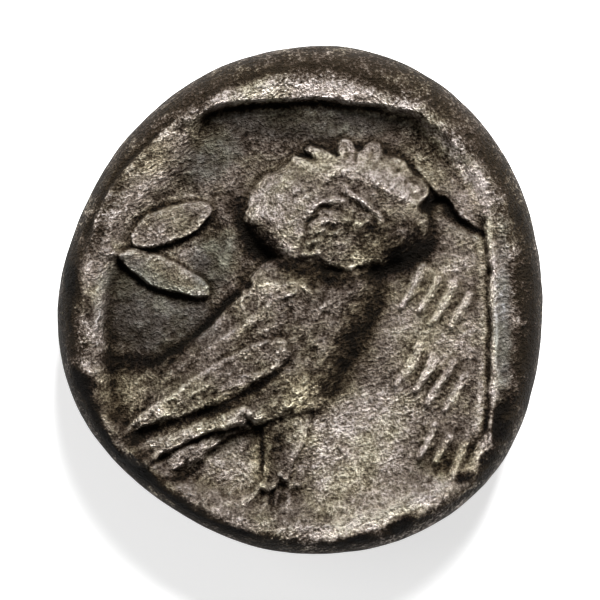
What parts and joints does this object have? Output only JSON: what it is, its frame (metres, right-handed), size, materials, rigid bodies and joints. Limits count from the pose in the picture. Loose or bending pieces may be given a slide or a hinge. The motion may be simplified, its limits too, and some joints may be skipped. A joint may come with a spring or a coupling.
{
  "type": "ancient silver drachm",
  "caption": "Thick hand-struck silver coin with a helmeted head on the lower side and an owl in a sunken square on the upper side, worn and dark toned.",
  "frame": {"origin": "under the middle of the coin's outline, on the plane it lies on", "axes": "+Z through the coin's thickness, out of the owl side; +Y to the owl's top; +X to the right of the owl side"},
  "size_m": [0.0142, 0.015, 0.0038],
  "materials": {
    "toned_silver": "old silver with a dark grey-brown tone, brighter on worn high points and near black in the recesses"
  },
  "bodies": {
    "root": {"coin": "toned_silver"}
  },
  "joints": []
}
